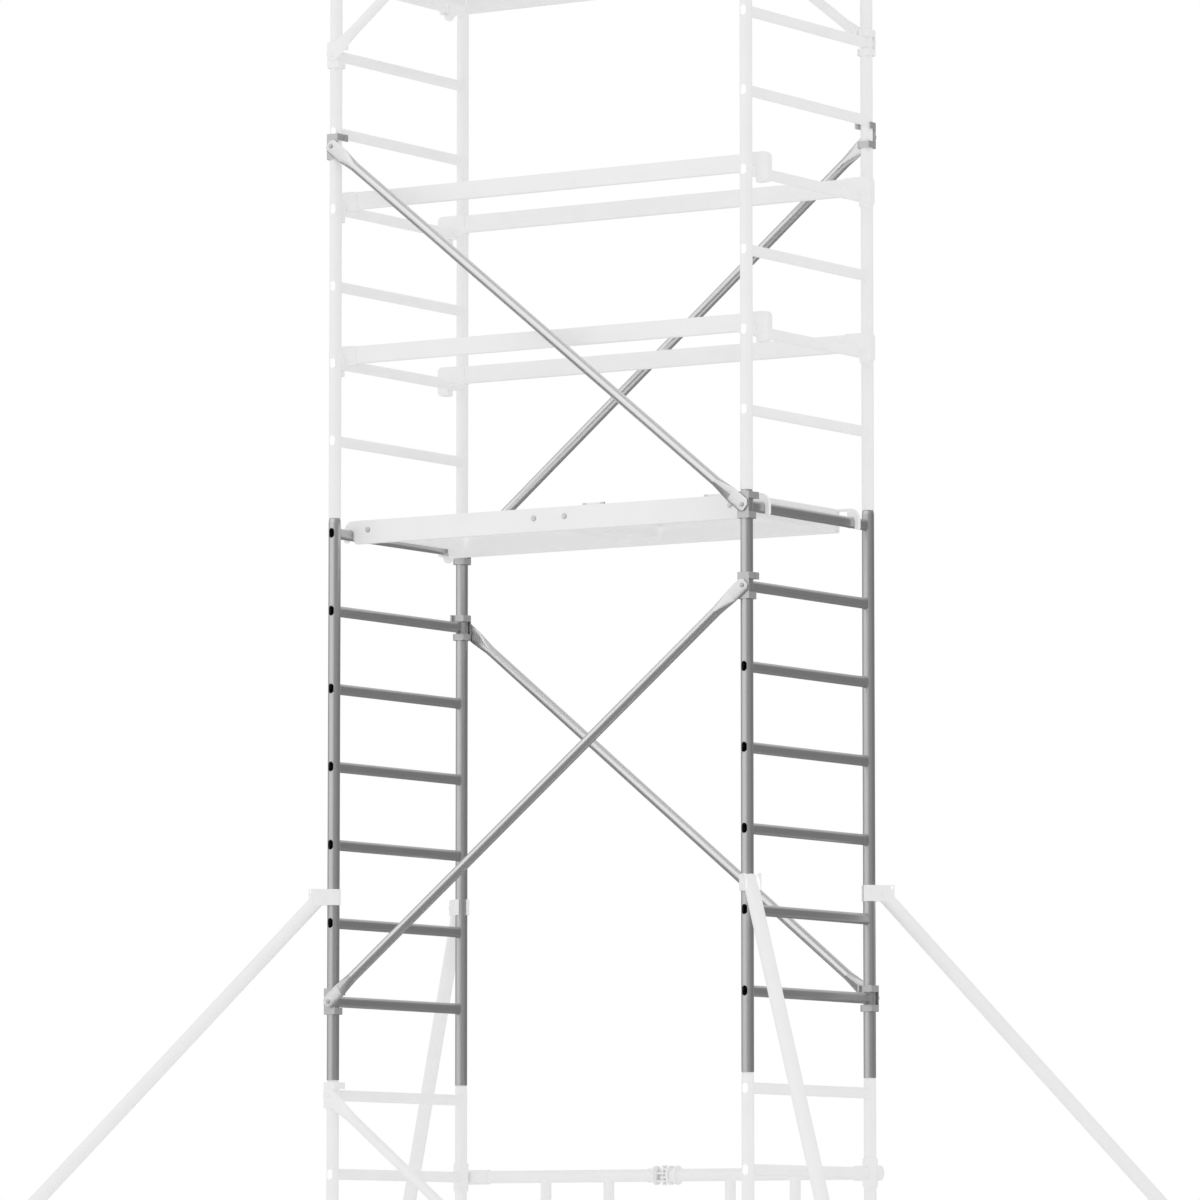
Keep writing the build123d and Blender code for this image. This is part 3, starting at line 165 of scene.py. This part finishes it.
class Shader(NodeTree):
    """A new material's node tree, with the textures and tones that the finishes share."""

    NOISE_LOW, NOISE_HIGH = 0.25, 0.75      # most of a noise texture's values lie between these
    CLOSED, OPEN = 0.05, 0.55               # shares of open sky that count as none and as all

    def __init__(self, name):
        self.material = bpy.data.materials.new(name)
        self.material.use_nodes = True
        super().__init__(self.material.node_tree)
        self.place = self.add("ShaderNodeTexCoord").outputs["Object"]

    def along(self, vector, axis):
        """A vector's X, Y or Z value."""
        return self.add("ShaderNodeSeparateXYZ", Vector=vector).outputs[axis]

    def stretched(self, scale, rotation=(0.0, 0.0, 0.0)):
        """Object coordinates turned and scaled, so that a texture can be drawn out along a tube."""
        turned = self.add("ShaderNodeMapping", Vector=self.place, Rotation=rotation)
        return self.add("ShaderNodeMapping", Vector=turned.outputs[0], Scale=scale).outputs[0]

    def noise(self, vector, scale, detail=3.0, roughness=0.55):
        node = self.add(
            "ShaderNodeTexNoise", Vector=vector, Scale=scale, Detail=detail, Roughness=roughness
        )
        return node.outputs["Fac"]

    def spread(self, value, low, high):
        """A noise texture's value moved into the range low to high."""
        node = self.add(
            "ShaderNodeMapRange", i0=value, i1=self.NOISE_LOW, i2=self.NOISE_HIGH, i3=low, i4=high
        )
        return node.outputs[0]

    def mix_colours(self, share, a, b, blend="MIX"):
        settings = {"data_type": "RGBA", "blend_type": blend}
        return self.add("ShaderNodeMix", settings, i0=share, i6=a, i7=b).outputs[2]

    def shade(self, colour, brightness):
        """A colour multiplied by a value."""
        grey = self.add("ShaderNodeCombineColor", i0=brightness, i1=brightness, i2=brightness)
        return self.mix_colours(1.0, colour, grey.outputs[0], "MULTIPLY")

    def openness(self, reach):
        """1 in the open, down to 0 inside tubes, slots and tight corners: an ambient-occlusion mask for
        painted shade and painted glow.
        """
        sky = self.add("ShaderNodeAmbientOcclusion", {"samples": 6}, Distance=reach).outputs["AO"]
        node = self.add("ShaderNodeMapRange", i0=sky, i1=self.CLOSED, i2=self.OPEN, i3=0.0, i4=1.0)
        return node.outputs[0]

    def painted_hollow_shade(self, reach, floor):
        """Painted shade: 1 in the open and down to floor where openness is 0."""
        return self.mix_values(self.openness(reach), floor, 1.0)

    def bump(self, height, strength, distance):
        return self.add("ShaderNodeBump", Height=height, Strength=strength, Distance=distance).outputs[0]

    def surface(self, **inputs):
        """The finished material. Where it gives off light, the light is white."""
        principled = self.add("ShaderNodeBsdfPrincipled", Emission_Color=WHITE, **inputs)
        self.add("ShaderNodeOutputMaterial", Surface=principled.outputs[0])
        return self.material


# ---- drawn lines: each takes a shader and gives a texture
def drawn_lines(shader, axis, slope=0.0):
    """Fine lines along a tube's length: axis is x, y or z, and slope turns x up towards z."""
    fine, along = 900.0, 5.0
    scale = tuple(along if name == axis else fine for name in "xyz")
    turned = shader.stretched(scale, (0.0, slope, 0.0))
    return shader.noise(turned, scale=1.0, detail=4.0, roughness=0.6)


def lines_along_x(shader):
    return drawn_lines(shader, "x")


def lines_along_z(shader):
    return drawn_lines(shader, "z")


def ladder_lines(shader):
    """Drawn lines that run up the posts and across the rungs."""
    distance = shader.math("ABSOLUTE", shader.along(shader.place, "Y"))
    on_post = shader.math("GREATER_THAN", distance, POST_Y - POST_RADIUS)
    return shader.mix_values(on_post, drawn_lines(shader, "y"), drawn_lines(shader, "z"))


def bead_grain(shader):
    return shader.noise(shader.place, scale=700.0)


def brace_slope(node):
    """Angle of a brace from the horizontal: the long axis of its vertices' spread."""
    places = [vertex.co for vertex in NODES[node].data.vertices]
    centre = sum(places, Vector()) / len(places)
    offsets = [place - centre for place in places]
    spread_x = sum(offset.x ** 2 for offset in offsets)
    spread_z = sum(offset.z ** 2 for offset in offsets)
    together = sum(offset.x * offset.z for offset in offsets)
    return math.atan2(2 * together, spread_x - spread_z) / 2


# ---- finishes: each makes a material
def metal(
    name, colour, lines, contrast, metallic, roughness, inside_shade=0.03, fill_glow=0.0, glow=0.0, relief=0.05
):
    """Drawn aluminium: fine lines, soft cloudiness, scuffs, and painted shade inside its open ends.

    contrast is how much lighter and darker the lines are, and relief how far they stand out as
    bumps. hollow is the share of brightness kept inside tubes as painted shade. lift is the painted
    glow that a pale piece gives off in the open, and glow the painted glow that it gives off inside."""
    scuff_from = 0.69
    scuff_share = 0.8
    scuff_roughness = 0.08
    line_roughness = 0.02
    shader = Shader(name)
    grain = lines(shader)
    cloud = shader.noise(shader.place, scale=7.0, detail=4.0)
    scuff = shader.noise(shader.stretched((30.0, 30.0, 9.0)), scale=1.6, detail=6.0, roughness=0.7)
    worn = shader.math("GREATER_THAN", scuff, scuff_from)
    lined = shader.spread(grain, 1.0 - contrast, 1.0 + contrast)
    lightness = shader.math("MULTIPLY", lined, shader.spread(cloud, 0.975, 1.02))
    scuffed = shader.math("MULTIPLY", worn, contrast * scuff_share)
    lightness = shader.math("SUBTRACT", lightness, scuffed)
    openness = shader.openness(0.06)
    # painted shade: darker inside tubes and tight corners, where ambient occlusion finds them
    lightness = shader.math("MULTIPLY", lightness, shader.mix_values(openness, inside_shade, 1.0))
    fine_rough = shader.spread(grain, roughness - line_roughness, roughness + line_roughness)
    return shader.surface(
        Base_Color=shader.shade(colour, lightness),
        Metallic=metallic,
        Roughness=shader.math("ADD", fine_rough, shader.math("MULTIPLY", worn, scuff_roughness)),
        Normal=shader.bump(grain, strength=relief, distance=0.0002),
        # painted glow: glow inside tubes, lift in the open
        Emission_Strength=shader.mix_values(openness, glow, fill_glow),
    )


def dark_metal(name, lines):
    return metal(name, DARK_METAL, lines, contrast=0.025, metallic=0.88, roughness=0.33)


def brace_metal(name, lines):
    return metal(name, BRACE_METAL, lines, contrast=0.008, metallic=0.90, roughness=0.27, relief=0.008)


# Pale finish: painted shade inside tubes, and a painted glow that lifts it out of shadow.
def pale_metal(name, lines):
    return metal(
        name, PALE_METAL, lines, contrast=0.012, metallic=0.0, roughness=0.55,
        inside_shade=PALE_INSIDE_SHADE, fill_glow=PALE_FILL_GLOW, glow=PALE_GLOW,
    )


# Both weld finishes keep metal's painted shade in tight corners; the pale one also its painted glow.
def dark_weld():
    return metal("dark_weld", DARK_METAL, bead_grain, contrast=0.06, metallic=0.80, roughness=0.42)


def pale_weld():
    return metal(
        "pale_weld", PALE_METAL, bead_grain, contrast=0.03, metallic=0.0, roughness=0.55,
        inside_shade=PALE_INSIDE_SHADE, fill_glow=PALE_FILL_GLOW, glow=PALE_FILL_GLOW,
    )


def fitting(name):
    """Pressed-sheet fittings: dark from DARK_FROM_Z to DARK_TO_Z and pale elsewhere, with painted shade in
    tight corners and a painted glow on the pale part.
    """
    shader = Shader(name)
    height = shader.along(shader.place, "Z")
    above = shader.math("GREATER_THAN", height, DARK_FROM_Z)
    below = shader.math("LESS_THAN", height, DARK_TO_Z)
    is_dark = shader.math("MULTIPLY", above, below)
    mottle = shader.noise(shader.place, scale=160.0)
    shadow = shader.painted_hollow_shade(reach=0.02, floor=0.5)
    lightness = shader.math("MULTIPLY", shader.spread(mottle, 0.975, 1.025), shadow)
    return shader.surface(
        Base_Color=shader.shade(shader.mix_colours(is_dark, PALE_METAL, DARK_FITTING), lightness),
        Metallic=shader.mix_values(is_dark, 0.0, 0.6),
        Roughness=shader.spread(mottle, 0.38, 0.46),
        Normal=shader.bump(mottle, strength=0.15, distance=0.0003),
        # painted glow on the pale part only
        Emission_Strength=shader.mix_values(is_dark, PALE_FILL_GLOW, 0.0),
    )


def cast(name, colour, metallic=0.0, fill_glow=0.0):
    """Cast or moulded piece: a fine pebbled skin, with painted shade in tight corners and a painted glow of
    strength lift.
    """
    shader = Shader(name)
    pebble = shader.noise(shader.place, scale=420.0)
    cloud = shader.noise(shader.place, scale=12.0)
    shadow = shader.painted_hollow_shade(reach=0.03, floor=0.55)
    lightness = shader.math("MULTIPLY", shader.spread(cloud, 0.98, 1.015), shadow)
    return shader.surface(
        Base_Color=shader.shade(colour, lightness),
        Metallic=metallic,
        Roughness=shader.spread(pebble, 0.42, 0.55),
        Normal=shader.bump(pebble, strength=0.2, distance=0.0004),
        Emission_Strength=fill_glow,
    )


def board(name):
    """Coated plywood with a raised grip pattern, and its plies at the cut edges, with painted shade in
    tight corners and a painted glow.
    """
    grip_line = 0.07
    shader = Shader(name)
    cells = shader.add(
        "ShaderNodeTexVoronoi", {"feature": "DISTANCE_TO_EDGE"}, Vector=shader.place, Scale=150.0
    )
    grip = shader.math("LESS_THAN", cells.outputs["Distance"], grip_line)
    upward = shader.along(shader.add("ShaderNodeNewGeometry").outputs["Normal"], "Z")
    is_face = shader.math("GREATER_THAN", shader.math("ABSOLUTE", upward), BOARD_FACING)
    plies = shader.add(
        "ShaderNodeTexWave", {"bands_direction": "Z"}, Vector=shader.place, Scale=110.0, Distortion=0.6
    )
    cloud = shader.noise(shader.stretched((3.0, 14.0, 14.0)), scale=1.5, detail=5.0)
    worn_grip = shader.mix_values(grip, 1.0, 0.97)
    face_light = shader.math("MULTIPLY", shader.spread(cloud, 0.97, 1.02), worn_grip)
    edge_tone = shader.mix_colours(plies.outputs["Fac"], DARK_PLY, LIGHT_PLY)
    tone = shader.mix_colours(is_face, edge_tone, shader.shade(PALE_BOARD, face_light))
    raised = shader.math("MULTIPLY", grip, is_face)
    return shader.surface(
        Base_Color=shader.shade(tone, shader.painted_hollow_shade(reach=0.03, floor=0.5)),
        Roughness=shader.spread(cloud, 0.5, 0.62),
        Normal=shader.bump(raised, strength=0.35, distance=0.0006),
        Emission_Strength=PALE_FILL_GLOW,
    )


def castor_wheel(name, node):
    """Grey tyre round a paler hub, told apart by the distance from the axle."""
    low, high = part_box(node)
    axle = (low + high) / 2
    radius = (high.z - low.z) / 2
    off_the_axle = (1.0, 0.0, 1.0)
    shader = Shader(name)

    def vector_math(operation, **inputs):
        return shader.add("ShaderNodeVectorMath", {"operation": operation}, **inputs).outputs

    offset = vector_math("SUBTRACT", i0=shader.place, i1=tuple(axle))[0]
    flat = vector_math("MULTIPLY", i0=offset, i1=off_the_axle)[0]
    distance = vector_math("LENGTH", i0=flat)["Value"]
    is_tyre = shader.math("GREATER_THAN", distance, radius * TYRE_FROM)
    dust = shader.noise(shader.place, scale=60.0, detail=5.0)
    # painted shade in tight corners and recesses
    shadow = shader.painted_hollow_shade(reach=0.04, floor=0.35)
    lightness = shader.math("MULTIPLY", shader.spread(dust, 0.94, 1.05), shadow)
    return shader.surface(
        Base_Color=shader.shade(shader.mix_colours(is_tyre, PALE_METAL, TYRE_GREY), lightness),
        Roughness=shader.mix_values(is_tyre, 0.42, 0.68),
        Normal=shader.bump(dust, strength=0.2, distance=0.0008),
    )


def stabiliser_foot(name):
    """Pale tube and ball over a grey rubber pad, told apart by height above the ground."""
    shader = Shader(name)
    is_pad = shader.math("LESS_THAN", shader.along(shader.place, "Z"), PAD_TOP)
    speckle = shader.noise(shader.place, scale=300.0, detail=4.0)
    cloud = shader.noise(shader.place, scale=9.0)
    speckled = shader.spread(speckle, 0.985, 1.015)
    lightness = shader.math("MULTIPLY", shader.spread(cloud, 0.98, 1.02), speckled)
    return shader.surface(
        Base_Color=shader.shade(shader.mix_colours(is_pad, PALE_METAL, TYRE_GREY), lightness),
        Roughness=shader.mix_values(is_pad, 0.45, 0.75),
        Normal=shader.bump(speckle, strength=0.15, distance=0.0004),
    )


def bead_ring(middle_x, side, height):
    """Points of one weld bead, in rings of BEAD_SIDES, round a rung where it enters a post."""
    points = []
    for step in range(BEAD_STEPS):
        angle = 2 * math.pi * (step + 0.5) / BEAD_STEPS
        across, up = math.cos(angle), math.sin(angle)
        x = RUNG_HALF_WIDTH * across
        z = RUNG_HALF_WIDTH * up + math.copysign(RUNG_HALF_STRAIGHT, up)
        y = POST_Y - math.sqrt(POST_RADIUS ** 2 - x ** 2)
        radius = BEAD_RADIUS * (1 + RIPPLE_DEPTH * math.sin(BEAD_RIPPLES * angle))
        for corner in range(BEAD_SIDES):
            turn = 2 * math.pi * corner / BEAD_SIDES
            out, inward = radius * math.cos(turn), radius * math.sin(turn)
            points.append((middle_x + x + out * across, side * (y - inward), height + z + out * up))
    return points


def bead_faces(start, side):
    """Faces over the points of one bead_ring, the first of which is number start."""
    faces = []
    for step in range(BEAD_STEPS):
        here = start + step * BEAD_SIDES
        after = start + (step + 1) % BEAD_STEPS * BEAD_SIDES
        for corner in range(BEAD_SIDES):
            across = (corner + 1) % BEAD_SIDES
            face = (here + corner, here + across, after + across, after + corner)
            faces.append(face if side > 0 else face[::-1])
    return faces


def weld_beads(name, nodes, material):
    """One mesh of the rippled beads where the rungs of some ladder frames enter their posts."""
    points = []
    faces = []
    for node in nodes:
        low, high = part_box(node)
        storey = node.split("_")[0]
        for rung in range(RUNG_COUNTS[storey]):
            height = low.z + FIRST_RUNG + rung * RUNG_PITCH
            for side in (-1, 1):
                faces += bead_faces(len(points), side)
                points += bead_ring((low.x + high.x) / 2, side, height)
    mesh = bpy.data.meshes.new(name)
    mesh.from_pydata(points, [], faces)
    mesh.polygons.foreach_set("use_smooth", [True] * len(faces))
    mesh.materials.append(material)
    beads = bpy.data.objects.new(name, mesh)
    bpy.context.scene.collection.objects.link(beads)
    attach(beads, "tower")


def paint(nodes, material):
    for node in nodes:
        slots = NODES[node].data.materials
        slots.clear()
        slots.append(material)


def paint_tubes():
    """Ladder frames, braces, rails, beams, gate and stabiliser arms."""
    paint(DARK_FRAMES, dark_metal("dark_ladder_tube", ladder_lines))
    paint(PALE_FRAMES, pale_metal("pale_ladder_tube", ladder_lines))
    for brace in DARK_BRACES + PALE_BRACES:
        slope = brace_slope(brace)
        make = brace_metal if brace in DARK_BRACES else pale_metal
        paint([brace], make(f"{brace}_tube", lambda shader: drawn_lines(shader, "x", slope)))
    along_x = pale_metal("pale_long_tube", lines_along_x)
    upright = pale_metal("pale_upright_tube", lines_along_z)
    paint(RAILS + ("platform_frame_lower", "platform_frame_upper", "deck_end_profiles"), along_x)
    paint(("gate_leaf_left", "gate_leaf_right"), upright)
    paint([f"stabiliser_arm_{corner}" for corner in CORNERS], upright)


def paint_fittings():
    """Couplers, castings, fasteners, decks, castors and stabiliser legs."""
    paint(("brace_couplers", "brace_rivets"), fitting("coupler_sheet"))
    cast_pale = cast("pale_casting", PALE_METAL, fill_glow=PALE_FILL_GLOW)
    paint(("rail_claws", "platform_hooks", "gate_brackets", "gate_centre_hinge"), cast_pale)
    paint(("wind_lock_lower", "wind_lock_upper"), cast_pale)
    zinc = cast("zinc_plate", ZINC, metallic=0.7)
    paint(("platform_fasteners", "hatch_hinges", "castor_stems"), zinc)
    paint(("platform_deck_lower", "platform_deck_upper", "hatch_lower", "hatch_upper"), board("deck_board"))
    pedal = cast("pedal_moulding", PEDAL_GREY)
    for corner in CORNERS:
        paint([f"castor_fork_{corner}"], zinc)
        paint([f"castor_brake_{corner}"], pedal)
        wheel = f"castor_wheel_{corner}"
        paint([wheel], castor_wheel(f"{wheel}_finish", wheel))
        leg = f"stabiliser_leg_{corner}"
        paint([leg], stabiliser_foot(f"{leg}_finish"))


def build_floor():
    bpy.ops.mesh.primitive_plane_add(size=FLOOR_SIZE)
    floor = bpy.context.object
    floor.name = "studio_floor"
    shader = Shader("studio_floor_paint")
    cloud = shader.noise(shader.place, scale=0.6, detail=2.0)
    rays = shader.add("ShaderNodeLightPath").outputs
    in_metal = shader.mix_values(rays["Is Glossy Ray"], 1.0, FLOOR_IN_METAL)
    bounce = shader.mix_values(rays["Is Diffuse Ray"], 1.0, FLOOR_BOUNCE)
    by_ray = shader.math("MULTIPLY", in_metal, bounce)
    lightness = shader.math("MULTIPLY", shader.spread(cloud, 0.99, 1.01), by_ray)
    floor.data.materials.append(
        shader.surface(Base_Color=shader.shade(FLOOR_GREY, lightness), Roughness=0.8)
    )


def build_light():
    """White backdrop, even light for matt surfaces, and soft panels that only shiny ones reflect."""
    world = bpy.data.worlds.new("studio")
    bpy.context.scene.world = world
    world.use_nodes = True
    world.cycles.sampling_method = "NONE"
    nodes = NodeTree(world.node_tree)
    sky = nodes.add("ShaderNodeTexCoord").outputs["Generated"]
    rays = nodes.add("ShaderNodeLightPath").outputs

    def panel(direction, edge, core, bright, dim=0.0):
        """Sky brightness round a direction: bright inside core, falling to dim at edge.

        Both are cosines of the angle from the direction."""
        towards = nodes.add(
            "ShaderNodeVectorMath", {"operation": "DOT_PRODUCT"},
            i0=sky, i1=Vector(direction).normalized(),
        )
        smooth = nodes.add(
            "ShaderNodeMapRange", {"interpolation_type": "SMOOTHSTEP"},
            i0=towards.outputs["Value"], i1=edge, i2=core, i3=dim, i4=bright,
        )
        return smooth.outputs[0]

    key = panel(KEY_FROM, edge=0.42, core=0.92, bright=KEY_GLOSS)
    top = panel(TOP_FROM, edge=0.0, core=0.9, bright=TOP_GLOSS)
    back = panel(BACK_FROM, edge=0.74, core=0.97, bright=BACK_GLOSS)
    shade = panel(SHADE_FROM, edge=-0.2, core=0.9, bright=SHADE_DEPTH)
    soft = panel(SOFT_FROM, edge=-1.0, core=1.0, bright=SOFT_HIGH, dim=SOFT_LOW)
    panels = nodes.math("ADD", nodes.math("ADD", key, top), nodes.math("ADD", back, BASE_GLOSS))
    glossy = nodes.math("SUBTRACT", panels, shade)
    light = nodes.mix_values(rays["Is Glossy Ray"], soft, glossy)
    seen = nodes.mix_values(rays["Is Camera Ray"], light, 1.0)
    background = nodes.add("ShaderNodeBackground", Color=WHITE, Strength=seen)
    nodes.add("ShaderNodeOutputWorld", Surface=background.outputs[0])


def build_camera():
    """A long lens at eye height, in front and to the right of the tower, tilted slightly up."""
    heading = math.radians(33.09)
    tilt = math.radians(5.382)
    distance = 26.26
    eye_height = 1.547
    sensor_width_mm = 36.0
    focal_length_mm = 221.72
    far_enough = 200.0
    camera = bpy.data.objects.new("camera", bpy.data.cameras.new("camera"))
    bpy.context.scene.collection.objects.link(camera)
    camera.data.sensor_width = sensor_width_mm
    camera.data.lens = focal_length_mm
    camera.data.clip_end = far_enough
    camera.location = (distance * math.sin(heading), -distance * math.cos(heading), eye_height)
    camera.rotation_euler = (math.pi / 2 + tilt, 0.0, heading)
    bpy.context.scene.camera = camera


paint_tubes()
paint_fittings()
weld_beads("weld_beads_middle", DARK_FRAMES, dark_weld())
weld_beads("weld_beads_pale", PALE_FRAMES, pale_weld())
build_floor()
build_light()
build_camera()
bpy.context.scene.view_settings.view_transform = "Standard"
